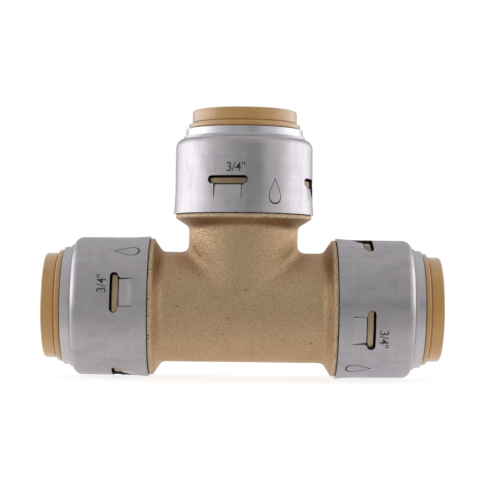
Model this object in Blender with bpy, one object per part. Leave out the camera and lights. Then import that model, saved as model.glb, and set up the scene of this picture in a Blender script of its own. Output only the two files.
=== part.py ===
"""Push-fit tee for 3/4 in copper-tube-size pipe.

A forged brass tee body carries three identical push-fit sockets. Each socket is a drawn
stainless shell latched over the body's end by four lanced tabs. The shell holds, from the
centre outwards, an O-ring, its retainer, a toothed grab ring, a support ring and a release
collar. A loose pipe liner stands on the pipe stop inside each socket.

Sizes are in millimetres until mesh_object() turns them into metres. Every piece of a socket
is drawn in that socket's own frame: its axis is +Z and points out of the tee, and the origin
is where the run and branch axes cross. A station is a distance from that origin along the
axis, and a profile is a list of (station, radius) points.
"""

import math

import bmesh
import bpy
from mathutils import Matrix

MM = 0.001

# Driving dimensions
PIPE_RADIUS = 11.1
CENTRE_TO_END = 48.7
SOCKET_BORE_RADIUS = PIPE_RADIUS + 0.2
SHELL_WALL = 0.55
STACK_GAP = 0.1

# Sockets: turn about Y that lays +Z along the socket, and clock angle of the first latch slot,
# measured from -Y towards the socket's own +X.
SOCKETS = {
    "left": (-90.0, 12.5),
    "right": (90.0, 17.2),
    "branch": (0.0, -14.0),
}

# Tee body
RUN_BARREL_RADIUS = 13.6
BRANCH_BARREL_RADIUS = 13.5
RUN_WATERWAY_RADIUS = 9.5
BRANCH_WATERWAY_RADIUS = 9.4
PIPE_STOP_STATION = 19.0
GUIDE_RADIUS = SOCKET_BORE_RADIUS + 0.1
SEAT_STATION = 25.8
SEAT_RADIUS = 14.2
BODY_END_STATION = 33.0
RIM_START_STATION = 21.8
RIM_END_STATION = 22.9
RIM_RADIUS = 16.85
RIM_CHAMFER = 0.3
BARREL_FILLET = 1.8
FLARE_START_STATION = 18.9
FLARE_SLOPE = 57.0
LAND_RADIUS = 16.2
GROOVE_RADIUS = 15.3
GROOVE_START_STATION = 25.3
FLANGE_START_STATION = 29.7
FLANGE_END_STATION = 31.4
NOSE_RADIUS = 15.6

# Steel shell, outside surface
SHELL_EDGE_STATION = 23.0
SHELL_EDGE_RADIUS = 17.37
SHELL_FLARE_STATION = 27.5
SHELL_RADIUS = 17.05
SHELL_MOUTH_STATION = 43.9
NECK_RADIUS = 14.57
NECK_LIP = 0.25
SHOULDER_STATION = 41.6
SHOULDER_ROUND = 2.4

# Latch slots and lanced tabs in the shell
LATCHES = 4
SLOT_STATION = 30.8
SLOT_WIDTH = 2.0
SLOT_LENGTH = 10.0
TAB_ROOT_STATION = 26.3
TAB_TIP_STATION = 29.5
TAB_WIDTH = 6.7
TAB_SLIT = 0.3
TAB_ROOT_OUTER_RADIUS = 16.72
TAB_TIP_OUTER_RADIUS = 16.15
TAB_THICKNESS = 0.45
TAB_ROOT_OVERLAP = 0.35

# O-ring
O_RING_STATION = 28.2
O_RING_RADIUS = 12.4
O_RING_SECTION_RADIUS = 1.7

# O-ring retainer
RETAINER_START_STATION = 30.4
RETAINER_SLEEVE_RADIUS = 14.0
RETAINER_BORE_RADIUS = 11.5
RETAINER_CONE_STATION = 30.9
RETAINER_CONE_RADIUS = 14.2
RETAINER_FLANGE_THICKNESS = 0.9

# Grab ring
STACK_RADIUS = 16.1
GRAB_RING_THICKNESS = 0.5
GRAB_RING_TEETH = 16
TOOTH_ROOT_RADIUS = 14.0
TOOTH_TIP_RADIUS = 10.8
TOOTH_LEAN = 2.2
TOOTH_ROOT_FILL = 0.78
TOOTH_TIP_FILL = 0.70

# Support ring
LIP_RADIUS = 14.2
LIP_END_STATION = 37.2
SUPPORT_BORE_RADIUS = 15.25
SUPPORT_BEVEL_STATION = 39.2
SUPPORT_END_STATION = 40.3
SUPPORT_END_RADIUS = 15.6

# Release collar
COLLAR_NOSE_STATION = 34.5
COLLAR_NOSE_RADIUS = 12.3
COLLAR_NOSE_BEVEL = 0.5
COLLAR_FLANGE_STATION = 39.8
COLLAR_FLANGE_THICKNESS = 1.0
COLLAR_FLANGE_RADIUS = 14.95
COLLAR_NECK_RADIUS = 13.85
COLLAR_STEP_STATION = 45.3
COLLAR_END_RADIUS = 13.0
COLLAR_END_BEVEL = 0.3
COLLAR_MOUTH_BEVEL = 0.5

# Pipe liner
LINER_BORE_RADIUS = 7.3
LINER_BARREL_RADIUS = 8.4
LINER_FLANGE_RADIUS = 10.45
LINER_FLANGE_THICKNESS = 1.0
LINER_END_STATION = 45.5
LINER_LEAD_IN = 1.5
LINER_TIP_RADIUS = 8.0

# Facets
LARGE_FACETS = 32
SMALL_FACETS = 20
O_RING_FACETS = 8
ROUND_STEPS = 3
SLOT_END_STEPS = 6
SHADE_ANGLE = math.radians(35)

# Materials: colour, metallic, roughness
FINISHES = {
    "forged_brass": ((0.50, 0.36, 0.17), 1.0, 0.45),
    "stainless": ((0.56, 0.55, 0.56), 1.0, 0.32),
    "spring_steel": ((0.62, 0.62, 0.64), 1.0, 0.25),
    "collar_acetal": ((0.55, 0.30, 0.10), 0.0, 0.45),
    "support_acetal": ((0.70, 0.68, 0.62), 0.0, 0.50),
    "retainer_acetal": ((0.12, 0.12, 0.13), 0.0, 0.50),
    "o_ring_rubber": ((0.02, 0.02, 0.02), 0.0, 0.60),
    "liner_plastic": ((0.80, 0.79, 0.74), 0.0, 0.45),
}


def clear_scene():
    for obj in list(bpy.data.objects):
        bpy.data.objects.remove(obj, do_unlink=True)


def finish(name):
    """The named material, made on first use."""
    material = bpy.data.materials.get(name)
    if material:
        return material
    colour, metallic, roughness = FINISHES[name]
    material = bpy.data.materials.new(name)
    material.use_nodes = True
    shader = material.node_tree.nodes["Principled BSDF"]
    shader.inputs["Base Color"].default_value = (*colour, 1.0)
    shader.inputs["Metallic"].default_value = metallic
    shader.inputs["Roughness"].default_value = roughness
    return material


def mesh_object(name, bm, material=None, parent=None):
    """An object holding the bmesh, scaled to metres and shaded smooth across its facets."""
    bmesh.ops.scale(bm, vec=(MM, MM, MM), verts=bm.verts)
    bmesh.ops.recalc_face_normals(bm, faces=bm.faces)
    mesh = bpy.data.meshes.new(name)
    bm.to_mesh(mesh)
    bm.free()
    mesh.shade_smooth()
    mesh.set_sharp_from_angle(angle=SHADE_ANGLE)
    if material:
        mesh.materials.append(finish(material))
    obj = bpy.data.objects.new(name, mesh)
    obj.parent = parent
    bpy.context.scene.collection.objects.link(obj)
    return obj


def arc(station, radius, size, start, sweep):
    """Profile points on an arc of the given radius about (station, radius).

    Angles are in degrees from the direction of the axis towards larger radii.
    """
    points = []
    for step in range(ROUND_STEPS + 1):
        angle = math.radians(start + sweep * step / ROUND_STEPS)
        points.append((station + size * math.cos(angle), radius + size * math.sin(angle)))
    return points


def turned(profile, facets, ring=True):
    """A bmesh turned from a profile about +Z: a closed ring, or a solid if it ends on the axis."""
    bm = bmesh.new()
    verts = [bm.verts.new((radius, 0.0, station)) for station, radius in profile]
    edges = [bm.edges.new(pair) for pair in zip(verts, verts[1:])]
    if ring:
        edges.append(bm.edges.new((verts[-1], verts[0])))
    bmesh.ops.spin(
        bm,
        geom=verts + edges,
        axis=(0.0, 0.0, 1.0),
        cent=(0.0, 0.0, 0.0),
        steps=facets,
        angle=math.tau,
        use_merge=True,
    )
    bmesh.ops.remove_doubles(bm, verts=bm.verts, dist=1e-4)
    return bm


def helper(name, bm, rotation=None):
    """A Boolean operand, which is no part of the object itself."""
    obj = mesh_object(name, bm)
    if rotation:
        obj.rotation_euler = rotation
    obj.hide_render = True
    obj.display_type = "WIRE"
    return obj


def combine(obj, operation, operand):
    modifier = obj.modifiers.new(operand.name, "BOOLEAN")
    modifier.operation = operation
    modifier.solver = "EXACT"
    modifier.object = operand


def arm_outline(barrel_radius):
    """Outside of one arm of the tee body, from its middle out to its end."""
    fillet = arc(
        FLARE_START_STATION, barrel_radius + BARREL_FILLET, BARREL_FILLET, -90, FLARE_SLOPE
    )
    return [
        *fillet,
        (RIM_START_STATION, RIM_RADIUS - RIM_CHAMFER),
        (RIM_START_STATION + RIM_CHAMFER, RIM_RADIUS),
        (RIM_END_STATION, RIM_RADIUS),
        (RIM_END_STATION, LAND_RADIUS),
        (GROOVE_START_STATION, LAND_RADIUS),
        (GROOVE_START_STATION, GROOVE_RADIUS),
        (FLANGE_START_STATION, GROOVE_RADIUS),
        (FLANGE_START_STATION, LAND_RADIUS),
        (FLANGE_END_STATION, LAND_RADIUS),
        (FLANGE_END_STATION, NOSE_RADIUS),
        (BODY_END_STATION, NOSE_RADIUS),
        (BODY_END_STATION, 0.0),
    ]


def bore_outline(waterway_radius):
    """Inside of one arm: waterway, pipe guide and O-ring seat, open past the body's end."""
    beyond = BODY_END_STATION + 1.0
    return [
        (PIPE_STOP_STATION, waterway_radius),
        (PIPE_STOP_STATION, GUIDE_RADIUS),
        (SEAT_STATION, GUIDE_RADIUS),
        (SEAT_STATION, SEAT_RADIUS),
        (beyond, SEAT_RADIUS),
        (beyond, 0.0),
    ]


def both_ways(outline):
    """An outline and its mirror image, for a run that goes through the tee."""
    return [(-station, radius) for station, radius in reversed(outline)] + outline


def one_way(outline):
    """An outline closed off at the origin, for a branch that ends inside the run."""
    return [(0.0, 0.0), (0.0, outline[0][1])] + outline


def make_tee_body():
    run = turned(both_ways(arm_outline(RUN_BARREL_RADIUS)), LARGE_FACETS, ring=False)
    run_bore = turned(both_ways(bore_outline(RUN_WATERWAY_RADIUS)), LARGE_FACETS, ring=False)
    branch = turned(one_way(arm_outline(BRANCH_BARREL_RADIUS)), LARGE_FACETS, ring=False)
    branch_bore = turned(one_way(bore_outline(BRANCH_WATERWAY_RADIUS)), LARGE_FACETS, ring=False)
    along_x = Matrix.Rotation(math.radians(90), 3, "Y")
    for blank in (run, run_bore):
        bmesh.ops.rotate(blank, cent=(0, 0, 0), matrix=along_x, verts=blank.verts)
    body = mesh_object("tee_body", run, "forged_brass")
    combine(body, "UNION", helper("branch_blank", branch))
    combine(body, "DIFFERENCE", helper("run_bore", run_bore))
    combine(body, "DIFFERENCE", helper("branch_bore", branch_bore))


def shell_profile():
    """Cross-section of the drawn shell wall, outside from edge to mouth, then back inside."""
    outside = [(SHELL_EDGE_STATION, SHELL_EDGE_RADIUS), (SHELL_FLARE_STATION, SHELL_RADIUS)]
    corner = (SHOULDER_STATION - SHOULDER_ROUND, SHELL_RADIUS - SHOULDER_ROUND)
    outside += arc(*corner, SHOULDER_ROUND, 90, -90)
    outside += [
        (SHOULDER_STATION, NECK_RADIUS),
        (SHELL_MOUTH_STATION - NECK_LIP, NECK_RADIUS),
        (SHELL_MOUTH_STATION, NECK_RADIUS - NECK_LIP),
        (SHELL_MOUTH_STATION, NECK_RADIUS - SHELL_WALL),
    ]
    inside = [(SHOULDER_STATION - SHELL_WALL, NECK_RADIUS - SHELL_WALL)]
    inside += arc(*corner, SHOULDER_ROUND - SHELL_WALL, 0, 90)
    inside += [
        (SHELL_FLARE_STATION, SHELL_RADIUS - SHELL_WALL),
        (SHELL_EDGE_STATION, SHELL_EDGE_RADIUS - SHELL_WALL),
    ]
    return outside + inside


def latch_turn(clock, latch):
    """Rotation that takes a latch drawn on the -Y side to its place round the shell."""
    angle = math.radians(clock + 360.0 * latch / LATCHES)
    return Matrix.Rotation(angle, 3, "Z")


def window_outline():
    """(x, station) corners of a latch window: a slot with round ends, and the room for its tab."""
    end_radius = SLOT_WIDTH / 2
    straight = SLOT_LENGTH / 2 - end_radius
    half_tab = TAB_WIDTH / 2 + TAB_SLIT
    points = [(-half_tab, TAB_ROOT_STATION), (half_tab, TAB_ROOT_STATION)]
    points.append((half_tab, SLOT_STATION - end_radius))
    for side, start in ((1, -90), (-1, 90)):
        for step in range(SLOT_END_STEPS + 1):
            angle = math.radians(start + 180 * step / SLOT_END_STEPS)
            x = side * straight + end_radius * math.cos(angle)
            points.append((x, SLOT_STATION + end_radius * math.sin(angle)))
    points.append((-half_tab, SLOT_STATION - end_radius))
    return points


def make_windows(clock):
    """Cutter for every latch window of one shell."""
    inner, outer = GROOVE_RADIUS - 1.0, SHELL_EDGE_RADIUS + 1.0
    bm = bmesh.new()
    for latch in range(LATCHES):
        verts = [bm.verts.new((x, -inner, station)) for x, station in window_outline()]
        face = bm.faces.new(verts)
        grown = bmesh.ops.extrude_face_region(bm, geom=[face])["geom"]
        pushed = [item for item in grown if isinstance(item, bmesh.types.BMVert)]
        bmesh.ops.translate(bm, vec=(0.0, inner - outer, 0.0), verts=pushed)
        bmesh.ops.rotate(bm, cent=(0, 0, 0), matrix=latch_turn(clock, latch), verts=verts + pushed)
    return bm


def make_tabs(clock):
    """The lanced tabs of one shell: flat plates that lean in towards their outer ends."""
    sections = (
        (TAB_ROOT_STATION - TAB_ROOT_OVERLAP, TAB_ROOT_OUTER_RADIUS),
        (TAB_ROOT_STATION, TAB_ROOT_OUTER_RADIUS),
        (TAB_TIP_STATION, TAB_TIP_OUTER_RADIUS),
    )
    bm = bmesh.new()
    for latch in range(LATCHES):
        rings = []
        for station, outer in sections:
            inner = outer - TAB_THICKNESS
            corners = ((-1, outer), (1, outer), (1, inner), (-1, inner))
            half = TAB_WIDTH / 2
            rings.append([bm.verts.new((side * half, -radius, station)) for side, radius in corners])
        bm.faces.new(rings[0])
        bm.faces.new(rings[-1])
        for lower, upper in zip(rings, rings[1:]):
            for corner in range(4):
                after = (corner + 1) % 4
                bm.faces.new((lower[corner], lower[after], upper[after], upper[corner]))
        verts = [vert for ring in rings for vert in ring]
        bmesh.ops.rotate(bm, cent=(0, 0, 0), matrix=latch_turn(clock, latch), verts=verts)
    return bm


def make_shell(socket, clock, frame):
    shell = mesh_object(f"{socket}_shell", turned(shell_profile(), LARGE_FACETS), "stainless", frame)
    windows = helper(f"{socket}_windows", make_windows(clock), frame.rotation_euler)
    tabs = helper(f"{socket}_tabs", make_tabs(clock), frame.rotation_euler)
    combine(shell, "DIFFERENCE", windows)
    combine(shell, "UNION", tabs)


def make_o_ring(socket, frame):
    profile = []
    for step in range(O_RING_FACETS):
        angle = math.tau * step / O_RING_FACETS
        profile.append((O_RING_STATION + O_RING_SECTION_RADIUS * math.cos(angle),
                        O_RING_RADIUS + O_RING_SECTION_RADIUS * math.sin(angle)))
    mesh_object(f"{socket}_o_ring", turned(profile, SMALL_FACETS), "o_ring_rubber", frame)


def make_retainer(socket, frame):
    """Backs the O-ring, and holds the grab ring's rim off the body on its flange."""
    flange_start = BODY_END_STATION + STACK_GAP
    flange_end = flange_start + RETAINER_FLANGE_THICKNESS
    profile = [
        (RETAINER_START_STATION, RETAINER_SLEEVE_RADIUS),
        (flange_start, RETAINER_SLEEVE_RADIUS),
        (flange_start, STACK_RADIUS),
        (flange_end, STACK_RADIUS),
        (flange_end, RETAINER_CONE_RADIUS),
        (RETAINER_CONE_STATION, RETAINER_BORE_RADIUS),
        (RETAINER_START_STATION, RETAINER_BORE_RADIUS),
    ]
    mesh_object(f"{socket}_o_ring_retainer", turned(profile, SMALL_FACETS), "retainer_acetal", frame)
    return flange_end


def make_grab_ring(socket, frame, start):
    """A flat rim with teeth that lean back towards the centre of the tee."""
    pitch = math.tau / GRAB_RING_TEETH
    bm = bmesh.new()

    def vertex_pair(radius, angle, station):
        """A vertex on the underside and one a sheet's thickness further out."""
        x, y = radius * math.cos(angle), radius * math.sin(angle)
        return [bm.verts.new((x, y, station + lift)) for lift in (0.0, GRAB_RING_THICKNESS)]

    # One section at each flank of each tooth: outer edge, tooth root and tooth tip.
    sections = []
    for tooth in range(GRAB_RING_TEETH):
        for side in (-1, 1):
            root = pitch * (tooth + side * TOOTH_ROOT_FILL / 2)
            tip = pitch * (tooth + side * TOOTH_TIP_FILL / 2)
            outer_edge = vertex_pair(STACK_RADIUS, root, start)
            tooth_root = vertex_pair(TOOTH_ROOT_RADIUS, root, start)
            tooth_tip = vertex_pair(TOOTH_TIP_RADIUS, tip, start - TOOTH_LEAN)
            sections.append((outer_edge, tooth_root, tooth_tip))
    for index, section in enumerate(sections):
        after = sections[(index + 1) % len(sections)]
        inner_level = 2 if index % 2 == 0 else 1
        for level in range(inner_level):
            for layer in (0, 1):
                bm.faces.new((section[level][layer], after[level][layer],
                              after[level + 1][layer], section[level + 1][layer]))
        for level in (0, inner_level):
            bm.faces.new((*section[level], *reversed(after[level])))
        bm.faces.new((*section[1], *reversed(section[2])))
    mesh_object(f"{socket}_grab_ring", bm, "spring_steel", frame)


def make_support_ring(socket, frame, start):
    """Backs the grab ring's rim on a lip, and stops the release collar on the same lip."""
    profile = [
        (start, STACK_RADIUS),
        (SUPPORT_BEVEL_STATION, STACK_RADIUS),
        (SUPPORT_END_STATION, SUPPORT_END_RADIUS),
        (SUPPORT_END_STATION, SUPPORT_BORE_RADIUS),
        (LIP_END_STATION, SUPPORT_BORE_RADIUS),
        (LIP_END_STATION, LIP_RADIUS),
        (start, LIP_RADIUS),
    ]
    mesh_object(f"{socket}_support_ring", turned(profile, SMALL_FACETS), "support_acetal", frame)


def make_release_collar(socket, frame):
    flange_end = COLLAR_FLANGE_STATION + COLLAR_FLANGE_THICKNESS
    profile = [
        (COLLAR_NOSE_STATION, SOCKET_BORE_RADIUS),
        (COLLAR_NOSE_STATION, COLLAR_NOSE_RADIUS - COLLAR_NOSE_BEVEL),
        (COLLAR_NOSE_STATION + COLLAR_NOSE_BEVEL, COLLAR_NOSE_RADIUS),
        (COLLAR_FLANGE_STATION, COLLAR_NOSE_RADIUS),
        (COLLAR_FLANGE_STATION, COLLAR_FLANGE_RADIUS),
        (flange_end, COLLAR_FLANGE_RADIUS),
        (flange_end, COLLAR_NECK_RADIUS),
        (COLLAR_STEP_STATION, COLLAR_NECK_RADIUS),
        (COLLAR_STEP_STATION, COLLAR_END_RADIUS),
        (CENTRE_TO_END - COLLAR_END_BEVEL, COLLAR_END_RADIUS),
        (CENTRE_TO_END, COLLAR_END_RADIUS - COLLAR_END_BEVEL),
        (CENTRE_TO_END, SOCKET_BORE_RADIUS + COLLAR_MOUTH_BEVEL),
        (CENTRE_TO_END - COLLAR_MOUTH_BEVEL, SOCKET_BORE_RADIUS),
    ]
    mesh_object(f"{socket}_release_collar", turned(profile, LARGE_FACETS), "collar_acetal", frame)


def make_liner(socket, frame):
    flange_start = PIPE_STOP_STATION + STACK_GAP
    flange_end = flange_start + LINER_FLANGE_THICKNESS
    profile = [
        (flange_start, LINER_BORE_RADIUS),
        (flange_start, LINER_FLANGE_RADIUS),
        (flange_end, LINER_FLANGE_RADIUS),
        (flange_end, LINER_BARREL_RADIUS),
        (LINER_END_STATION - LINER_LEAD_IN, LINER_BARREL_RADIUS),
        (LINER_END_STATION, LINER_TIP_RADIUS),
        (LINER_END_STATION, LINER_BORE_RADIUS),
    ]
    mesh_object(f"{socket}_pipe_liner", turned(profile, SMALL_FACETS), "liner_plastic", frame)


def make_socket(socket, turn, clock):
    frame = bpy.data.objects.new(f"{socket}_socket", None)
    frame.rotation_euler = (0.0, math.radians(turn), 0.0)
    bpy.context.scene.collection.objects.link(frame)
    make_shell(socket, clock, frame)
    make_o_ring(socket, frame)
    ring_start = make_retainer(socket, frame) + STACK_GAP
    make_grab_ring(socket, frame, ring_start)
    make_support_ring(socket, frame, ring_start + GRAB_RING_THICKNESS + STACK_GAP)
    make_release_collar(socket, frame)
    make_liner(socket, frame)


def main():
    clear_scene()
    make_tee_body()
    for socket, (turn, clock) in SOCKETS.items():
        make_socket(socket, turn, clock)


main()
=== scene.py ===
"""Looks of a push-fit tee for 3/4 in pipe: a grit-blasted brass forging, three drawn stainless
shells, tan release collars and the small pieces inside each socket.

Shapes are drawn in millimetres and become metres in add_mesh(), or in make_tee_body() for the
forging. A socket's pieces are drawn in that socket's own frame: +Z points out of the tee along
the socket's axis, and the origin is where the run and branch axes cross. A station is a
distance from that origin along the axis. Profiles are lists of (station, radius) points, and
profiles with rounded corners start as lists of (station, radius, fillet).
"""

import math

import bmesh
import bpy
import numpy as np
from mathutils import Matrix, Vector, geometry, noise


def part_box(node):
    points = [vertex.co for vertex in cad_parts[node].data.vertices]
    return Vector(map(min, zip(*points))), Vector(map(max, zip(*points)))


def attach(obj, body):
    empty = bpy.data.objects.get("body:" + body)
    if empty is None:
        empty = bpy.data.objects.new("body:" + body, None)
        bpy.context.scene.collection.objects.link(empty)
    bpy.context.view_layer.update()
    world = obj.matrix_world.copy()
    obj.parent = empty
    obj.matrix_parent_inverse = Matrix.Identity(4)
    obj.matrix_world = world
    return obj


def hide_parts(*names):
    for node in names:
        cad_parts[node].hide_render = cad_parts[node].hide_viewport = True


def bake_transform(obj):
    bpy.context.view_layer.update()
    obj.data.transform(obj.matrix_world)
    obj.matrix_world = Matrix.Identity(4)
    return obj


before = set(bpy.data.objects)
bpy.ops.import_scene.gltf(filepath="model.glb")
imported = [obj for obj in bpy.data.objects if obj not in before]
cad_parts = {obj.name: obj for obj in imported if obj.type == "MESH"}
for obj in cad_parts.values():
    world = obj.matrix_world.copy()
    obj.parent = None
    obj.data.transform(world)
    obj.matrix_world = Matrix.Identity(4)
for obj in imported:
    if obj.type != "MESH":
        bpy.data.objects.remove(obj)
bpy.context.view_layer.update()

MM = 0.001

# Turn about Y that lays +Z along each socket, and clock angle in degrees of its first latch,
# from -Y towards the socket's own +X.
SOCKETS = {
    "left": (-90.0, 12.5),
    "right": (90.0, 17.2),
    "branch": (0.0, -14.0),
}


def reach(node):
    """First station, last station and outer radius of a branch socket's CAD node, in mm."""
    low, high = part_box(node)
    return low.z / MM, high.z / MM, high.x / MM


# Sizes read from the CAD nodes of the branch socket, which stand for all three sockets.
SHELL_EDGE, SHELL_MOUTH, SHELL_EDGE_RADIUS = reach("branch_shell")
COLLAR_NOSE, COLLAR_END, COLLAR_FLANGE_RADIUS = reach("branch_release_collar")
LINER_START, LINER_END, LINER_FLANGE_RADIUS = reach("branch_pipe_liner")
O_RING_START, O_RING_STOP, O_RING_OUTER_RADIUS = reach("branch_o_ring")
RETAINER_START, RETAINER_END, STACK_RADIUS = reach("branch_o_ring_retainer")
_, GRAB_END, GRAB_RADIUS = reach("branch_grab_ring")
SUPPORT_START, SUPPORT_END, SUPPORT_RADIUS = reach("branch_support_ring")
BODY_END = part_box("tee_body")[1].z / MM
FLOOR_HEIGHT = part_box("left_shell")[0].z / MM

# Tee body
RUN_BARREL_RADIUS = 13.6
BRANCH_BARREL_RADIUS = 13.5
RUN_WATERWAY_RADIUS = 9.5
BRANCH_WATERWAY_RADIUS = 9.4
PIPE_STOP = 19.0
GUIDE_RADIUS = 11.4
SEAT_START = 25.8
SEAT_RADIUS = 14.2
RIM_START = 21.8
RIM_END = 22.9
RIM_RADIUS = 16.85
RIM_INNER_RADIUS = 16.5
RIM_BEVEL = 0.15
BARREL_FILLET = 1.8
FLARE_START = 18.9
FLARE_SLOPE = 57.0
LAND_RADIUS = 16.2
GROOVE_START = 25.3
GROOVE_RADIUS = 15.3
FLANGE_START = 29.7
FLANGE_END = 31.4
NOSE_RADIUS = 15.6
CROTCH_FILLET = 2.1
FORGING_VOXEL = 0.42

# Low waves on the forging's skin: height, and sizes of the broad and the fine ones
WAVE_HEIGHT = 0.035
WAVE_SIZES = (2.2, 0.9)

# Steel shell
SHELL_WALL = 0.55
SHELL_RADIUS = 17.05
SHELL_FLARE = 27.5
SHOULDER = 41.6
SHOULDER_ROUND = 2.2
NECK_RADIUS = 14.57
LATCHES = 4
LATCH_BAND = (25.4, 33.4)
SLOT_STATION = 30.8
SLOT_WIDTH = 2.0
SLOT_LENGTH = 10.1
TAB_ROOT = 26.3
TAB_TIP = 29.58
TAB_WIDTH = 6.7
TAB_SLIT = 0.17
TAB_DEPTH = 0.6
TAB_FLATTENING = 0.12
TAB_BEND = 0.12

# Release collar: radii of bore, nose, sleeve, wide ring and end ring, and its flange's station
COLLAR_BORE = 11.3
COLLAR_NOSE_RADIUS = 12.3
COLLAR_SLEEVE = 13.4
COLLAR_BEAD = 13.85
COLLAR_RING = 13.0
COLLAR_FLANGE = 39.8

# Grab ring teeth, whose width is a share of their pitch
TEETH = 16
TOOTH_THICKNESS = 0.5
TOOTH_ROOT_RADIUS = 14.0
TOOTH_TIP_RADIUS = 10.8
TOOTH_LEAN = 2.2
TOOTH_ROOT_FILL = 0.78
TOOTH_TIP_FILL = 0.70
TOOTH_BEND = 0.08

# Support ring, retainer and pipe liner
SUPPORT_MOUTH_RADIUS = 15.25
SUPPORT_POCKET = 37.2
STACK_BORE = 14.2
RETAINER_SLEEVE = 14.0
RETAINER_BORE = 11.5
LINER_BORE = 7.3
LINER_RADIUS = 8.4

# Marks on the shells: how far they stand out and sink in, the strips they are bent in, and where
# each is, in degrees round from the first slot and as a station
MARK_THICKNESS = 0.02
MARK_STRIP = 0.4
SIZE_FONT = 3.1
SIZE_ANGLE, SIZE_STATION = -1.2, SLOT_STATION + SLOT_WIDTH / 2 + 0.95
DROP_ANGLE, DROP_STATION = 39.6, 28.2
DROP_OUTSIDE, DROP_INSIDE = (4.6, 6.4), (4.1, 5.6)

# Facets round a full turn, and mesh spacing on the latch band
SEGMENTS = 192
BAND_SPACING = 0.5

# Base colours
FORGED_DULL, FORGED_BRIGHT = (0.66, 0.455, 0.275), (0.725, 0.51, 0.315)
# On the next line, the rim colour is a painted highlight, and the last, brown colour is painted shade
# with some grime.
FORGED_RIM_HIGHLIGHT, FORGED_PIT, FORGED_SHADE_AND_GRIME = (0.86, 0.66, 0.42), (0.10, 0.05, 0.02), (0.28, 0.155, 0.065)
TURNED_DULL, TURNED_BRIGHT = (0.74, 0.55, 0.35), (0.84, 0.64, 0.42)
TURNED_SHADED = (0.015, 0.011, 0.008)
STEEL_DULL, STEEL_BRIGHT = (0.575, 0.545, 0.58), (0.63, 0.60, 0.63)
STEEL_SPECK, STEEL_BURNISHED = (0.12, 0.11, 0.11), (0.84, 0.83, 0.87)
MARK_DARK, MARK_PALE = (0.035, 0.032, 0.034), (0.10, 0.093, 0.095)
RUBBER_BLACK = (0.012, 0.012, 0.013, 1.0)

# Camera, in millimetres and degrees, and how far back the bright panels of the tent are turned
CAMERA_DISTANCE = 370.0
CAMERA_LENS = 110.4
CAMERA_PITCH, CAMERA_YAW, CAMERA_ROLL = -1.38, 0.23, 0.70
AIM_HEIGHT = 16.14
PANEL_TURN = 15.0

# Sockets of Blender's Mix node, for colours and for numbers
COLOUR_MIX_IN, COLOUR_MIX_OUT = (0, 6, 7), 2
NUMBER_MIX_IN, NUMBER_MIX_OUT = (0, 2, 3), 0


# ---- mesh helpers

def socket_matrix(socket):
    return Matrix.Rotation(math.radians(SOCKETS[socket][0]), 4, "Y")


def add_mesh(name, bm, material=None, matrix=None, sharp=35.0):
    """An object in metres from a bmesh in millimetres, smooth but for edges over sharp degrees."""
    bmesh.ops.scale(bm, vec=(MM, MM, MM), verts=bm.verts)
    mesh = bpy.data.meshes.new(name)
    bm.to_mesh(mesh)
    bm.free()
    mesh.shade_smooth()
    mesh.set_sharp_from_angle(angle=math.radians(sharp))
    if material:
        mesh.materials.append(material)
    obj = bpy.data.objects.new(name, mesh)
    bpy.context.scene.collection.objects.link(obj)
    if matrix:
        obj.matrix_world = matrix
    return obj


def rounded(corners, closed=True, step=12.0):
    """A profile whose corners, (station, radius, fillet), are rounded by arcs."""
    count = len(corners)
    points = []
    for index, (station, radius, fillet) in enumerate(corners):
        here = Vector((station, radius))
        if fillet <= 0 or (not closed and index in (0, count - 1)):
            points.append(tuple(here))
            continue
        before = (Vector(corners[index - 1][:2]) - here).normalized()
        after = (Vector(corners[(index + 1) % count][:2]) - here).normalized()
        half = before.angle(after) / 2
        reach_back = fillet / math.tan(half)
        centre = here + (before + after).normalized() * (fillet / math.sin(half))
        start = here + before * reach_back - centre
        turn = start.angle_signed(here + after * reach_back - centre)
        steps = max(2, math.ceil(math.degrees(abs(turn)) / step))
        for number in range(steps + 1):
            arm = start.copy()
            arm.rotate(Matrix.Rotation(-turn * number / steps, 2))
            points.append(tuple(centre + arm))
    return points


def ring_faces(rows, first=0):
    """Quads joining each row of SEGMENTS vertices to the next one."""
    faces = []
    for row in range(rows - 1):
        low = first + row * SEGMENTS
        high = low + SEGMENTS
        for column in range(SEGMENTS):
            after = (column + 1) % SEGMENTS
            faces.append((low + column, low + after, high + after, high + column))
    return faces


def bmesh_of(verts, faces, weld=None):
    """A bmesh with outward normals, its vertices merged if they are closer than weld."""
    bm = bmesh.new()
    made = [bm.verts.new(co) for co in verts]
    for face in faces:
        bm.faces.new([made[index] for index in face])
    if weld:
        bmesh.ops.remove_doubles(bm, verts=bm.verts, dist=weld)
    bmesh.ops.recalc_face_normals(bm, faces=bm.faces)
    return bm


def spun(profile):
    """A row of SEGMENTS vertices about +Z for each point of a profile."""
    angles = np.arange(SEGMENTS) * math.tau / SEGMENTS
    rows = []
    for station, radius in profile:
        x, y = radius * np.cos(angles), radius * np.sin(angles)
        rows.append(np.stack([x, y, np.full(SEGMENTS, station)], 1))
    return np.concatenate(rows)


def turned(profile):
    """A ring turned from a closed profile."""
    verts = spun(profile)
    faces = ring_faces(len(profile) + 1)
    return bmesh_of(verts, [tuple(index % len(verts) for index in face) for face in faces])


def solid_turned(profile):
    """A solid turned from a profile that runs from one end to the other, capped with flat discs."""
    verts = spun(profile)
    faces = ring_faces(len(profile))
    faces.append(tuple(range(SEGMENTS)))
    faces.append(tuple(range(len(verts) - SEGMENTS, len(verts))))
    return bmesh_of(verts, faces)


def mirrored(profile):
    """The profile and its mirror image beyond station 0, as one line."""
    return [(-station, radius) for station, radius in reversed(profile)] + profile


def bent(share, bend):
    """Drop along a strip bent at its root, which curves over about the share bend."""
    return share - bend * (1 - math.exp(-share / bend))


def coordinates(mesh):
    flat = np.empty(len(mesh.vertices) * 3)
    mesh.vertices.foreach_get("co", flat)
    return flat.reshape(-1, 3)


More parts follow.
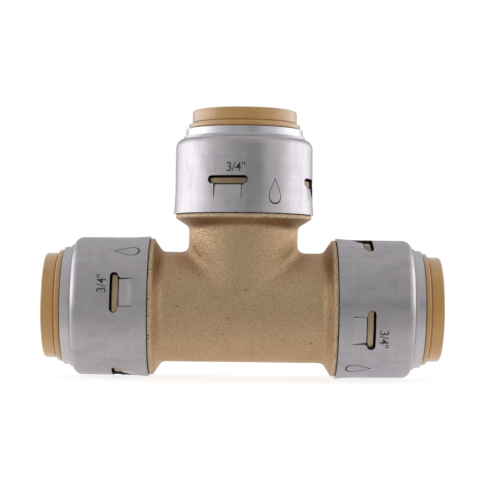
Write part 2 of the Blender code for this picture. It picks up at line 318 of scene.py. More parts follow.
def store(mesh, name, values):
    """Keeps a number for each vertex, which a material reads by its name."""
    attribute = mesh.attributes.new(name, "FLOAT", "POINT")
    attribute.data.foreach_set("value", values.astype(np.float32))


def evaluated(obj):
    """A plain mesh of the object with its modifiers applied."""
    graph = bpy.context.evaluated_depsgraph_get()
    return bpy.data.meshes.new_from_object(obj.evaluated_get(graph))


def apply_modifiers(obj):
    mesh = evaluated(obj)
    obj.modifiers.clear()
    obj.data = mesh


def remove(obj):
    bpy.data.objects.remove(obj, do_unlink=True)


def boolean(obj, operation, operand):
    """Joins or cuts obj with another object, which is used up."""
    modifier = obj.modifiers.new(operation, "BOOLEAN")
    modifier.operation = operation
    modifier.solver = "MANIFOLD"
    modifier.object = operand
    apply_modifiers(obj)
    remove(operand)


# ---- materials

class Nodes:
    """Short calls for building a node tree. Values are sockets, numbers or colours."""

    def __init__(self, tree):
        self.tree = tree

    def add(self, kind, **settings):
        node = self.tree.nodes.new(kind)
        for key, value in settings.items():
            setattr(node, key, value)
        return node

    def link(self, source, target):
        self.tree.links.new(source, target)

    def feed(self, target, value):
        """Gives a node's input a value."""
        if isinstance(value, tuple):
            target.default_value = (*value, 1.0)
        elif isinstance(value, (int, float)):
            target.default_value = value
        else:
            self.link(value, target)

    def ramp(self, value, stops):
        """Colour ramp from (position, grey or colour) stops."""
        node = self.add("ShaderNodeValToRGB")
        self.link(value, node.inputs["Fac"])
        elements = node.color_ramp.elements
        while len(elements) < len(stops):
            elements.new(1.0)
        for element, (position, colour) in zip(elements, stops):
            element.position = position
            grey = isinstance(colour, (int, float))
            element.color = (colour, colour, colour, 1.0) if grey else (*colour, 1.0)
        return node.outputs["Color"]

    def math(self, operation, *values):
        node = self.add("ShaderNodeMath", operation=operation)
        for target, value in zip(node.inputs, values):
            self.feed(target, value)
        return node.outputs["Value"]

    def mix(self, factor, first, second, blend="MIX"):
        node = self.add("ShaderNodeMix", data_type="RGBA", blend_type=blend)
        for number, value in zip(COLOUR_MIX_IN, (factor, first, second)):
            self.feed(node.inputs[number], value)
        return node.outputs[COLOUR_MIX_OUT]

    def ranged(self, value, low, high, start, end):
        """Goes smoothly from start to end as the value goes from low to high."""
        node = self.add("ShaderNodeMapRange", interpolation_type="SMOOTHSTEP")
        self.link(value, node.inputs["Value"])
        for name, number in zip(("From Min", "From Max", "To Min", "To Max"), (low, high, start, end)):
            node.inputs[name].default_value = number
        return node.outputs["Result"]

    def axes(self, vector):
        node = self.add("ShaderNodeSeparateXYZ")
        self.link(vector, node.inputs["Vector"])
        return node.outputs

    def light_and_view(self, light, view):
        """One strength for the light that is cast, and another for what the camera sees."""
        node = self.add("ShaderNodeMix", data_type="FLOAT")
        seen = self.add("ShaderNodeLightPath").outputs["Is Camera Ray"]
        for number, value in zip(NUMBER_MIX_IN, (seen, light, view)):
            self.feed(node.inputs[number], value)
        return node.outputs[NUMBER_MIX_OUT]


class Surface(Nodes):
    """A Principled material, whose textures follow the object's own coordinates."""

    def __init__(self, name):
        self.material = bpy.data.materials.new(name)
        self.material.use_nodes = True
        super().__init__(self.material.node_tree)
        self.shader = self.tree.nodes["Principled BSDF"]
        self.place = self.add("ShaderNodeTexCoord").outputs["Object"]

    def set(self, **values):
        for name, value in values.items():
            self.shader.inputs[name.replace("_", " ")].default_value = value

    def drive(self, name, source):
        self.link(source, self.shader.inputs[name])

    def stretched(self, scale):
        """Object coordinates scaled along each axis."""
        node = self.add("ShaderNodeMapping")
        node.inputs["Scale"].default_value = scale
        self.link(self.place, node.inputs["Vector"])
        return node.outputs["Vector"]

    def noise(self, scale, detail, roughness, vector=None):
        node = self.add("ShaderNodeTexNoise")
        node.inputs["Scale"].default_value = scale
        node.inputs["Detail"].default_value = detail
        node.inputs["Roughness"].default_value = roughness
        self.link(vector or self.place, node.inputs["Vector"])
        return node.outputs["Fac"]

    def attribute(self, name):
        return self.add("ShaderNodeAttribute", attribute_name=name).outputs["Fac"]

    def bump(self, height, distance, strength):
        """Roughens the surface by a height whose full range is distance, in millimetres."""
        node = self.add("ShaderNodeBump")
        node.inputs["Strength"].default_value = strength
        node.inputs["Distance"].default_value = distance * MM
        self.link(height, node.inputs["Height"])
        self.drive("Normal", node.outputs["Normal"])


def per_mm(size):
    """Texture scale that makes features about this many millimetres across."""
    return 1.0 / (size * MM)


def forged_brass():
    """Grit-blasted brass: fine grain, a few dark pits, a rim painted paler as a highlight, and brown
    painted shade, with some grime, in the corners.
    """
    n = Surface("forged_brass")
    blotch = n.noise(per_mm(9.0), 3.0, 0.55)
    grain = n.noise(per_mm(0.27), 2.0, 0.6)
    grit = n.noise(per_mm(0.5), 2.0, 0.5)
    rim = n.attribute("rim")
    n.drive("Metallic", n.math("SUBTRACT", 1.0, n.math("MULTIPLY", rim, 0.55)))
    tone = n.ramp(blotch, [(0.30, FORGED_DULL), (0.70, FORGED_BRIGHT)])
    # The rim is painted paler, a painted highlight for the light its rounded edge catches; its nicks
    # and lower metalness are its own.
    tone = n.mix(n.math("MULTIPLY", rim, 0.9), tone, FORGED_RIM_HIGHLIGHT)
    tone = n.mix(1.0, tone, n.ramp(grain, [(0.28, 0.68), (0.66, 1.15)]), "MULTIPLY")
    pits = n.ramp(n.noise(per_mm(1.6), 3.0, 0.75), [(0.285, 1.0), (0.315, 0.0)])
    blots = n.ramp(n.noise(per_mm(3.4), 4.0, 0.8), [(0.262, 1.0), (0.282, 0.0)])
    nicks = n.ramp(n.noise(per_mm(0.45), 2.0, 0.6), [(0.34, 1.0), (0.40, 0.0)])
    marks = n.math("MAXIMUM", n.math("MAXIMUM", pits, blots), n.math("MULTIPLY", nicks, rim))
    tone = n.mix(n.math("MULTIPLY", marks, 0.85), tone, FORGED_PIT)
    # Brown painted shade, with some grime, from the stored mask, broken up by the grit.
    shade_and_grime = n.math("MULTIPLY", n.attribute("shade_and_grime"), n.ramp(grit, [(0.25, 0.55), (0.7, 1.0)]))
    n.drive("Base Color", n.mix(shade_and_grime, tone, FORGED_SHADE_AND_GRIME))
    n.drive("Roughness", n.ramp(grain, [(0.3, 0.52), (0.7, 0.38)]))
    height = n.math("ADD", n.math("MULTIPLY", grit, 0.9), grain)
    height = n.math("SUBTRACT", height, n.math("MULTIPLY", marks, 1.5))
    n.bump(height, 0.12, 1.0)
    return n.material


def turned_brass():
    """Bright machined brass, faintly clouded, and darkened with painted shade and some grease where it
    is sunk behind the shell.
    """
    n = Surface("turned_brass")
    n.set(Metallic=1.0, Anisotropic=0.4)
    cloud = n.noise(per_mm(3.0), 3.0, 0.5)
    speck = n.ramp(n.noise(per_mm(0.35), 3.0, 0.7), [(0.32, 0.35), (0.42, 1.0)])
    tone = n.ramp(cloud, [(0.3, TURNED_DULL), (0.7, TURNED_BRIGHT)])
    tone = n.mix(1.0, tone, speck, "MULTIPLY")
    # Painted shade, with some grease, where the turned end sinks behind the shell.
    n.drive("Base Color", n.mix(n.attribute("shade_and_grime"), tone, TURNED_SHADED))
    n.drive("Roughness", n.ramp(cloud, [(0.3, 0.42), (0.7, 0.32)]))
    n.bump(n.noise(per_mm(0.2), 2.0, 0.5), 0.01, 0.5)
    return n.material


def satin_steel():
    """Drawn stainless: rings left by drawing, faint clouds and smudges, and pressed parts paler."""
    n = Surface("satin_steel")
    n.set(Metallic=1.0, Anisotropic=0.5)
    tangent = n.add("ShaderNodeTangent", direction_type="RADIAL", axis="Z")
    n.drive("Tangent", tangent.outputs["Tangent"])
    rings = n.noise(1.0, 4.0, 0.7, n.stretched((70.0, 70.0, 5200.0)))
    bands = n.noise(1.0, 3.0, 0.6, n.stretched((45.0, 45.0, 1500.0)))
    cloud = n.noise(per_mm(6.0), 4.0, 0.6)
    smudge = n.noise(1.0, 3.0, 0.6, n.stretched((420.0, 420.0, 160.0)))
    tone = n.ramp(cloud, [(0.3, STEEL_DULL), (0.7, STEEL_BRIGHT)])
    tone = n.mix(1.0, tone, n.ramp(rings, [(0.25, 0.95), (0.75, 1.04)]), "MULTIPLY")
    tone = n.mix(1.0, tone, n.ramp(bands, [(0.30, 0.965), (0.65, 1.015)]), "MULTIPLY")
    tone = n.mix(1.0, tone, n.ramp(smudge, [(0.30, 0.88), (0.55, 1.0)]), "MULTIPLY")
    specks = n.ramp(n.noise(per_mm(1.3), 2.0, 0.7), [(0.215, 1.0), (0.25, 0.0)])
    tone = n.mix(n.math("MULTIPLY", specks, 0.7), tone, STEEL_SPECK)
    tone = n.mix(n.math("MULTIPLY", n.attribute("burnish"), 0.5), tone, STEEL_BURNISHED)
    n.drive("Base Color", tone)
    n.drive("Roughness", n.ramp(rings, [(0.2, 0.21), (0.8, 0.30)]))
    n.bump(rings, 0.007, 0.5)
    return n.material


def shaded_slot_wall():
    """Painted shade on the walls of the slots and slits: near-black, uneven steel that stands for the
    shadow they lie in.
    """
    n = Surface("shaded_slot_wall")
    n.set(Metallic=0.3)
    # The near-black colour is painted shade.
    wall_noise = n.noise(per_mm(0.3), 2.0, 0.6)
    n.drive("Base Color", n.ramp(wall_noise, [(0.3, 0.012), (0.7, 0.06)]))
    n.drive("Roughness", n.ramp(wall_noise, [(0.3, 0.7), (0.7, 0.5)]))
    return n.material


def spring_steel():
    """Bright hardened stainless, faintly clouded."""
    n = Surface("spring_steel")
    n.set(Metallic=1.0)
    cloud = n.noise(per_mm(0.8), 3.0, 0.6)
    n.drive("Base Color", n.ramp(cloud, [(0.3, 0.56), (0.7, 0.68)]))
    n.drive("Roughness", n.ramp(cloud, [(0.3, 0.30), (0.7, 0.20)]))
    return n.material


def moulded(name, dark, light, roughness):
    """Injection-moulded plastic: slight colour drift, faint mould texture and fine scuffs."""
    n = Surface(name)
    n.set(IOR=1.9, Coat_Weight=1.0, Coat_Roughness=0.12, Sheen_Weight=0.5, Sheen_Roughness=0.5)
    cloud = n.noise(per_mm(5.0), 3.0, 0.5)
    n.drive("Base Color", n.ramp(cloud, [(0.35, dark), (0.65, light)]))
    scuff = n.noise(1.0, 4.0, 0.7, n.stretched((300.0, 300.0, 2600.0)))
    n.drive("Roughness", n.ramp(scuff, [(0.3, roughness - 0.05), (0.75, roughness + 0.08)]))
    n.bump(n.noise(per_mm(0.25), 2.0, 0.5), 0.012, 0.6)
    return n.material


def seal_rubber():
    """Black rubber with an uneven film of lubricant."""
    n = Surface("seal_rubber")
    n.set(Base_Color=RUBBER_BLACK)
    film = n.noise(per_mm(1.5), 2.0, 0.5)
    n.drive("Roughness", n.ramp(film, [(0.3, 0.22), (0.7, 0.42)]))
    return n.material


def etched_mark():
    """Laser-darkened steel, uneven along each stroke."""
    n = Surface("etched_mark")
    n.set(Metallic=0.6)
    burn = n.noise(per_mm(0.35), 2.0, 0.6)
    n.drive("Base Color", n.ramp(burn, [(0.3, MARK_DARK), (0.7, MARK_PALE)]))
    n.drive("Roughness", n.ramp(burn, [(0.3, 0.5), (0.7, 0.65)]))
    return n.material


MATERIALS = {
    "forged": forged_brass(),
    "turned": turned_brass(),
    "steel": satin_steel(),
    "slot_wall_shade": shaded_slot_wall(),
    "spring": spring_steel(),
    "collar": moulded("collar_acetal", (0.64, 0.32, 0.048), (0.70, 0.36, 0.062), 0.25),
    "support": moulded("support_acetal", (0.62, 0.60, 0.54), (0.70, 0.68, 0.62), 0.45),
    "retainer": moulded("retainer_acetal", (0.050, 0.050, 0.055), (0.07, 0.07, 0.075), 0.45),
    "liner": moulded("liner_plastic", (0.72, 0.71, 0.66), (0.80, 0.79, 0.74), 0.42),
    "rubber": seal_rubber(),
    "mark": etched_mark(),
}


# ---- tee body

def forged_outline(barrel_radius):
    """Outline of one forged arm: barrel, flare and end, from its middle out to the rim."""
    steps = 8
    points = []
    for step in range(steps + 1):
        angle = math.radians(-90 + FLARE_SLOPE * step / steps)
        points.append((FLARE_START + BARREL_FILLET * math.cos(angle),
                       barrel_radius + BARREL_FILLET * (1 + math.sin(angle))))
    points.append((RIM_START - RIM_BEVEL, RIM_INNER_RADIUS - 0.2))
    points.append((RIM_START + RIM_BEVEL, RIM_INNER_RADIUS))
    return points


def outline_distance(outline, station, radius):
    """Signed distance from (station, radius) to an arm that reaches inwards without end."""
    far = 60.0
    ring = np.array([(-far, -far), (-far, outline[0][1]), *outline, (outline[-1][0], -far)])
    point = np.stack([station, radius], 1)
    nearest = np.full(len(point), np.inf)
    inside = np.zeros(len(point), bool)
    for start, end in zip(ring, np.roll(ring, -1, axis=0)):
        along = end - start
        offset = point - start
        share = np.clip(offset @ along / (along @ along), 0, 1)
        nearest = np.minimum(nearest, np.sum((offset - share[:, None] * along) ** 2, axis=1))
        crosses = (start[1] > point[:, 1]) != (end[1] > point[:, 1])
        if along[1]:
            crossing = start[0] + along[0] * (point[:, 1] - start[1]) / along[1]
            inside ^= crosses & (point[:, 0] < crossing)
    return np.where(inside, -1, 1) * np.sqrt(nearest)


def run_distance(point):
    """Signed distance from points to the run's forged skin."""
    return outline_distance(forged_outline(RUN_BARREL_RADIUS), np.abs(point[:, 0]),
                            np.hypot(point[:, 1], point[:, 2]))


def branch_distance(point):
    """The branch's own distance, which fades out inside the run."""
    below = np.minimum(point[:, 2], 0)
    return outline_distance(forged_outline(BRANCH_BARREL_RADIUS), np.maximum(point[:, 2], 0),
                            np.hypot(point[:, 0], point[:, 1])) + below ** 2 / 10


def slope(function, point, step=0.02):
    """Unit gradient of a distance function at each point."""
    parts = []
    for axis in np.eye(3) * step:
        parts.append(function(point + axis) - function(point - axis))
    gradient = np.stack(parts, 1)
    return gradient / np.maximum(np.linalg.norm(gradient, axis=1, keepdims=True), 1e-9)


def settle_on_forging(point):
    """Moves points onto the tee's skin, with a fillet in the crotches that fades where arms merge.

    Returns the points and how deep each lies in a crotch fillet, from 0 to 1.
    """
    for _ in range(6):
        run, branch = run_distance(point), branch_distance(point)
        run_slope, branch_slope = slope(run_distance, point), slope(branch_distance, point)
        turn = 1 - np.sum(run_slope * branch_slope, axis=1)
        width = CROTCH_FILLET * np.sqrt(np.clip(turn, 1e-6, 1))
        share = np.clip(1 - np.abs(run - branch) / width, 0, 1)
        value = np.minimum(run, branch) - share ** 2 * width / 4
        weight = np.where(run < branch, 1 - share / 2, share / 2)[:, None]
        direction = run_slope * weight + branch_slope * (1 - weight)
        direction /= np.maximum(np.linalg.norm(direction, axis=1, keepdims=True), 1e-9)
        point = point - value[:, None] * direction
    return point, share * np.clip(turn, 0, 1)


def forging_blank():
    """The tee's closed outer skin up to the rims, remeshed evenly."""
    run = solid_turned(mirrored(forged_outline(RUN_BARREL_RADIUS)))
    turn = Matrix.Rotation(math.radians(90), 3, "Y")
    bmesh.ops.rotate(run, cent=(0, 0, 0), matrix=turn, verts=run.verts)
    branch = solid_turned([(0.0, BRANCH_BARREL_RADIUS)] + forged_outline(BRANCH_BARREL_RADIUS))
    joined = bmesh.new()
    for bm in (run, branch):
        mesh = bpy.data.meshes.new("blank")
        bm.to_mesh(mesh)
        bm.free()
        joined.from_mesh(mesh)
        bpy.data.meshes.remove(mesh)
    mesh = bpy.data.meshes.new("tee_forging")
    joined.to_mesh(mesh)
    joined.free()
    forging = bpy.data.objects.new("tee_forging", mesh)
    bpy.context.scene.collection.objects.link(forging)
    remesh = forging.modifiers.new("even", "REMESH")
    remesh.mode = "VOXEL"
    remesh.voxel_size = FORGING_VOXEL
    apply_modifiers(forging)
    return forging


def end_piece(socket):
    """The turned end of one arm: rim, land, latch groove, flange and O-ring seat."""
    profile = rounded([
        (RIM_START - RIM_BEVEL, GUIDE_RADIUS, 0),
        (RIM_START - RIM_BEVEL, RIM_INNER_RADIUS - 0.3, 0),
        (RIM_START + RIM_BEVEL, RIM_RADIUS, 0.12),
        (RIM_END, RIM_RADIUS, 0.35),
        (RIM_END, LAND_RADIUS, 0.1),
        (GROOVE_START, LAND_RADIUS, 0.2),
        (GROOVE_START, GROOVE_RADIUS, 0.3),
        (FLANGE_START, GROOVE_RADIUS, 0.3),
        (FLANGE_START, LAND_RADIUS, 0.3),
        (FLANGE_END, LAND_RADIUS, 0.3),
        (FLANGE_END, NOSE_RADIUS, 0.1),
        (BODY_END, NOSE_RADIUS, 0.2),
        (BODY_END, SEAT_RADIUS, 0.25),
        (SEAT_START, SEAT_RADIUS, 0.3),
        (SEAT_START, GUIDE_RADIUS, 0.2),
    ])
    return add_mesh(f"{socket}_end_blank", turned(profile), matrix=socket_matrix(socket))


def arm_bore(waterway):
    """Profile of an arm's bore, from its pipe stop into the hole that end_piece() leaves."""
    return [(PIPE_STOP, waterway), (PIPE_STOP, GUIDE_RADIUS), (RIM_START + 1.0, GUIDE_RADIUS)]


def wave(point):
    """Height of the forging's low waves at a point."""
    broad, fine = (noise.noise(Vector(point) / size) for size in WAVE_SIZES)
    return WAVE_HEIGHT * (broad + 0.5 * fine)


def make_tee_body():
    forging = forging_blank()
    skin, _ = settle_on_forging(coordinates(forging.data))
    heights = np.array([wave(point) for point in skin])
    outward = slope(lambda point: np.minimum(run_distance(point), branch_distance(point)), skin)
    skin = skin + outward * heights[:, None]
    forging.data.vertices.foreach_set("co", (skin * MM).ravel())
    forging.data.update()
    for socket in SOCKETS:
        boolean(forging, "UNION", end_piece(socket))
    run_bore = mirrored(arm_bore(RUN_WATERWAY_RADIUS))
    branch_bore = [(0.0, BRANCH_WATERWAY_RADIUS)] + arm_bore(BRANCH_WATERWAY_RADIUS)
    for socket, profile in (("right", run_bore), ("branch", branch_bore)):
        bore = add_mesh("bore", solid_turned(profile), matrix=socket_matrix(socket))
        boolean(forging, "DIFFERENCE", bore)
    finish_tee_body(forging)
    return forging


def arm_place(place):
    """Whether each point is on the branch, with its station and radius about its own arm's axis."""
    on_branch = place[:, 2] > RUN_BARREL_RADIUS + 2
    station = np.where(on_branch, place[:, 2], np.abs(place[:, 0]))
    aside = np.where(on_branch, place[:, 0], place[:, 2])
    return on_branch, station, np.hypot(aside, place[:, 1])


def finish_tee_body(forging):
    """Turned surfaces get their own material, and brown painted shade, with some grime, is laid in the
    crotches and flares and where the ends sink behind the shells.
    """
    mesh = forging.data
    mesh.materials.clear()
    mesh.materials.append(MATERIALS["forged"])
    mesh.materials.append(MATERIALS["turned"])
    place = coordinates(mesh) / MM
    _, station, radius = arm_place(place)
    _, crotch = settle_on_forging(place)
    # Brown painted shade, with some grime, is heavier, and reaches further out of the flares, towards
    # the top of the branch.
    upper = np.clip((place[:, 2] - 3) / 8, 0, 1)
    flare = np.clip((station - FLARE_START - 2.2 + 1.5 * upper) / 0.8, 0, 1) * (0.5 + 0.5 * upper)
    flare *= np.clip((RIM_INNER_RADIUS + 0.4 - radius) / 0.9, 0, 1)
    # Painted shade, with some grease, where the turned end sinks behind the shell.
    sunk = (station > GROOVE_START) & (radius > NOSE_RADIUS - 0.2) & (radius < LAND_RADIUS - 0.2)
    # One mask: painted shade with some grime in the flares, painted shade in the crotch fillets and on
    # the sunk ends.
    store(mesh, "shade_and_grime", np.clip(0.7 * flare + 0.2 * crotch + sunk, 0, 1))
    # Mask of the rim, which gets a painted highlight as well as its own nicks and lower metalness.
    store(mesh, "rim", np.clip((station - RIM_START + 0.25) / 0.3, 0, 1))
    middle = np.array([polygon.center for polygon in mesh.polygons]) / MM
    on_branch, station, radius = arm_place(middle)
    bore = (radius < GUIDE_RADIUS + 0.3) & (on_branch | (middle[:, 2] < GUIDE_RADIUS + 0.3))
    machined = (station > RIM_END - 0.05) | bore
    mesh.polygons.foreach_set("material_index", machined.astype(np.int32))
    mesh.shade_smooth()
    mesh.set_sharp_from_angle(angle=math.radians(32))


# ---- shells

def shell_outline():
    """Outside line of the drawn shell from its open edge to its mouth."""
    return rounded([
        (SHELL_EDGE, SHELL_EDGE_RADIUS, 0),
        (SHELL_EDGE + 1.6, SHELL_EDGE_RADIUS - 0.14, 8.0),
        (SHELL_FLARE, SHELL_RADIUS, 30.0),
        (SHOULDER, SHELL_RADIUS - 0.05, SHOULDER_ROUND),
        (SHOULDER, NECK_RADIUS + 0.05, 0.5),
        (SHELL_MOUTH, NECK_RADIUS - 0.05, 0),
    ], closed=False, step=7.5)


def offset_line(line, distance):
    """The line moved sideways, towards the axis for a positive distance."""
    points = np.array(line)
    along = np.gradient(points, axis=0)
    along /= np.linalg.norm(along, axis=1, keepdims=True)
    return points + np.stack([along[:, 1], -along[:, 0]], 1) * distance


def latch_outline():
    """Closed outline, in developed millimetres, of a slot and the slits beside its tab."""
    arc_steps = 12
    half_tab = TAB_WIDTH / 2
    half_slit = half_tab + TAB_SLIT
    end_radius = SLOT_WIDTH / 2
    straight = SLOT_LENGTH / 2 - end_radius
    low = SLOT_STATION - end_radius
    corners = [
        (-half_slit, TAB_ROOT),
        (-half_tab, TAB_ROOT),
        (-half_tab, TAB_TIP),
        (half_tab, TAB_TIP),
        (half_tab, TAB_ROOT),
        (half_slit, TAB_ROOT),
        (half_slit, low),
    ]
    points = []
    for start, end in zip(corners, corners[1:]):
        points += between(start, end)
    for side, first in ((1, -90), (-1, 90)):
        for step in range(arc_steps + 1):
            angle = math.radians(first + 180 * step / arc_steps)
            points.append((side * straight + end_radius * math.cos(angle),
                           SLOT_STATION + end_radius * math.sin(angle)))
        if side == 1:
            points += between(points[-1], (-straight, SLOT_STATION + end_radius))[1:]
    points.append((-half_slit, low))
    points += between((-half_slit, low), corners[0])[1:]
    return points


def between(start, end):
    """Evenly spaced points from start up to, but not including, end."""
    start, end = Vector(start), Vector(end)
    steps = max(1, round((end - start).length / BAND_SPACING))
    return [tuple(start.lerp(end, number / steps)) for number in range(steps)]


def inside_outline(point, outline):
    """Whether a point lies inside a closed outline, by the edges that a line from it crosses."""
    x, y = point
    inside = False
    for (x0, y0), (x1, y1) in zip(outline, outline[1:] + outline[:1]):
        if (y0 > y) != (y1 > y) and x < x0 + (x1 - x0) * (y - y0) / (y1 - y0):
            inside = not inside
    return inside


def clearance(point, outline):
    """Distance from a point to the nearest edge of a closed outline."""
    here = Vector(point)
    gaps = []
    for start, end in zip(outline, outline[1:] + outline[:1]):
        _, share = geometry.intersect_point_line(here, start, end)
        share = min(max(share, 0.0), 1.0)
        gaps.append((here - Vector(start).lerp(Vector(end), share)).length)
    return min(gaps)


def latch_patch(columns):
    """Triangulated quarter of the latch band round one latch.

    Returns its points in developed millimetres, its triangles and its outline's indices.
    """
    low, high = LATCH_BAND
    width = SHELL_RADIUS * math.tau / LATCHES
    rows = round((high - low) / BAND_SPACING)
    outline = latch_outline()
    hole = list(range(len(outline)))
    points = list(outline)
    for row in range(rows + 1):
        for column in range(columns + 1):
            point = (width * (column / columns - 0.5), low + (high - low) * row / rows)
            border = row in (0, rows) or column in (0, columns)
            if border or (not inside_outline(point, outline) and clearance(point, outline) > 0.3):
                points.append(point)
    edges = [(index, (index + 1) % len(hole)) for index in hole]
    verts, _, faces, _, _, _ = geometry.delaunay_2d_cdt(
        [Vector(point) for point in points], edges, [], 0, 1e-5)
    kept = []
    for face in faces:
        middle = sum((verts[index] for index in face), Vector((0, 0))) / 3
        if not inside_outline(middle, outline):
            kept.append(tuple(face))
    return [tuple(vert) for vert in verts], kept, hole


def tab_drop(across, station):
    """How far the sheet is pushed in at a point of the latch band."""
    if abs(across) > TAB_WIDTH / 2 + TAB_SLIT / 2 or not TAB_ROOT < station <= TAB_TIP + 0.01:
        return 0.0
    share = (station - TAB_ROOT) / (TAB_TIP - TAB_ROOT)
    crown = 1 - (2 * across / TAB_WIDTH) ** 2
    return TAB_DEPTH * bent(share, TAB_BEND) + TAB_FLATTENING * min(1.0, 3 * share) * crown


def burnished(place, clock):
    """How far the press has polished each point: the tabs, and the neck beyond the shoulder."""
    pitch = math.tau / LATCHES
    angle = np.arctan2(place[:, 0], -place[:, 1]) - clock
    across = SHELL_RADIUS * np.abs((angle + pitch / 2) % pitch - pitch / 2)
    station = place[:, 2]
    on_tab = (across < TAB_WIDTH / 2 + 0.01) & (station > TAB_ROOT) & (station < TAB_TIP + 0.01)
    tab = 0.25 * np.clip(station - TAB_ROOT, 0, 1)
    neck = np.clip(station - SHOULDER + 0.5, 0, 1)
    return np.where(on_tab, tab, neck)


def make_shell(socket):
    """Drawn shell: rings of facets, and in the latch band a patch cut out round each latch."""
    outline = shell_outline()
    stations = [station for station, _ in outline]
    radii = [radius for _, radius in outline]
    low, high = LATCH_BAND
    inner = offset_line(outline, SHELL_WALL).tolist()
    clock = math.radians(SOCKETS[socket][1])
    columns = SEGMENTS // LATCHES
    verts, faces = [], []

    def at(angle, station, radius):
        """A point of the shell, at an angle from its first latch."""
        turn = clock + angle
        return (radius * math.sin(turn), -radius * math.cos(turn), station)

    def add_rings(line):
        first = len(verts)
        for station, radius in line:
            for column in range(SEGMENTS):
                angle = math.tau / LATCHES * (column / columns - 0.5)
                verts.append(at(angle, station, radius))
        faces.extend(ring_faces(len(line), first))
        return first

    def band_radius(station):
        return float(np.interp(station, stations, radii))

    starts = {}
    for side, line, wall in (("out", outline, 0.0), ("in", inner, SHELL_WALL)):
        below = [point for point, (station, _) in zip(line, outline) if station < low - 0.01]
        above = [point for point, (station, radius) in zip(line, outline)
                 if station > high + 0.01 or radius < SHELL_RADIUS - 0.3]
        below.append((low, band_radius(low) - wall))
        above.insert(0, (high, band_radius(high) - wall))
        starts[side] = add_rings(below), add_rings(above) + (len(above) - 1) * SEGMENTS
    for end in (0, 1):
        outside, inside = starts["out"][end], starts["in"][end]
        for column in range(SEGMENTS):
            after = (column + 1) % SEGMENTS
            faces.append((outside + column, outside + after, inside + after, inside + column))
    points, triangles, hole = latch_patch(columns)
    for latch in range(LATCHES):
        centre = math.tau * latch / LATCHES
        first = len(verts)
        for wall in (0.0, SHELL_WALL):
            for across, station in points:
                radius = band_radius(station) - tab_drop(across, station) - wall
                verts.append(at(centre + across / SHELL_RADIUS, station, radius))
        for layer in (first, first + len(points)):
            faces.extend(tuple(layer + index for index in triangle) for triangle in triangles)
        for here, after in zip(hole, hole[1:] + hole[:1]):
            faces.append((first + here, first + after,
                          first + len(points) + after, first + len(points) + here))
    bm = bmesh_of(verts, faces, weld=1e-3)
    # Walls of the slots and slits get the near-black material, painted shade for their shadow.
    for face in bm.faces:
        middle = face.calc_center_median()
        outward = Vector((middle.x, middle.y, 0.0)).normalized()
        if low < middle.z < high and abs(face.normal.dot(outward)) < 0.5:
            face.material_index = 1
    name = f"{socket}_drawn_shell"
    shell = add_mesh(name, bm, MATERIALS["steel"], socket_matrix(socket), sharp=40)
    shell.data.materials.append(MATERIALS["slot_wall_shade"])
    store(shell.data, "burnish", burnished(coordinates(shell.data) / MM, clock))
    return shell


# ---- pieces inside and at the mouth

def turned_piece(socket, piece, profile, material):
    """A piece of one socket, turned from a closed profile."""
    name = f"{socket}_{piece}"
    return add_mesh(name, turned(profile), MATERIALS[material], socket_matrix(socket))


def make_collar(socket):
    """Sleeve with a stop flange, a bead that shows at the shell's mouth and a narrower end ring."""
    step = COLLAR_END - 3.4
    profile = rounded([
        (COLLAR_NOSE, COLLAR_BORE, 0.0),
        (COLLAR_NOSE, COLLAR_BORE + 0.2, 0.1),
        (COLLAR_NOSE + 1.25, COLLAR_NOSE_RADIUS, 0.2),
        (COLLAR_FLANGE, COLLAR_NOSE_RADIUS, 0.25),
        (COLLAR_FLANGE, COLLAR_FLANGE_RADIUS, 0.2),
        (COLLAR_FLANGE + 1.0, COLLAR_FLANGE_RADIUS, 0.2),
        (COLLAR_FLANGE + 1.0, COLLAR_SLEEVE, 0.25),
        (SHELL_MOUTH + 0.15, COLLAR_SLEEVE, 0.1),
        (SHELL_MOUTH + 0.3, COLLAR_BEAD, 0.3),
        (step, COLLAR_BEAD, 0.3),
        (step + 0.05, COLLAR_RING - 0.35, 0.1),
        (step + 0.35, COLLAR_RING - 0.35, 0.1),
        (step + 0.4, COLLAR_RING, 0.2),
        (COLLAR_END, COLLAR_RING - 0.05, 0.5),
        (COLLAR_END, COLLAR_BORE + 0.6, 0.3),
        (COLLAR_END - 0.8, COLLAR_BORE, 0.5),
    ])
    return turned_piece(socket, "collar_moulding", profile, "collar")


def make_support(socket):
    """Ring that backs the grab ring, with a pocket for the collar's flange."""
    profile = rounded([
        (SUPPORT_START, SUPPORT_RADIUS, 0.15),
        (SUPPORT_END - 1.1, SUPPORT_RADIUS, 0.3),
        (SUPPORT_END, SUPPORT_MOUTH_RADIUS + 0.35, 0.15),
        (SUPPORT_END, SUPPORT_MOUTH_RADIUS, 0.1),
        (SUPPORT_POCKET, SUPPORT_MOUTH_RADIUS, 0.15),
        (SUPPORT_POCKET, STACK_BORE, 0.2),
        (SUPPORT_START, STACK_BORE, 0.2),
    ])
    return turned_piece(socket, "backing_ring", profile, "support")


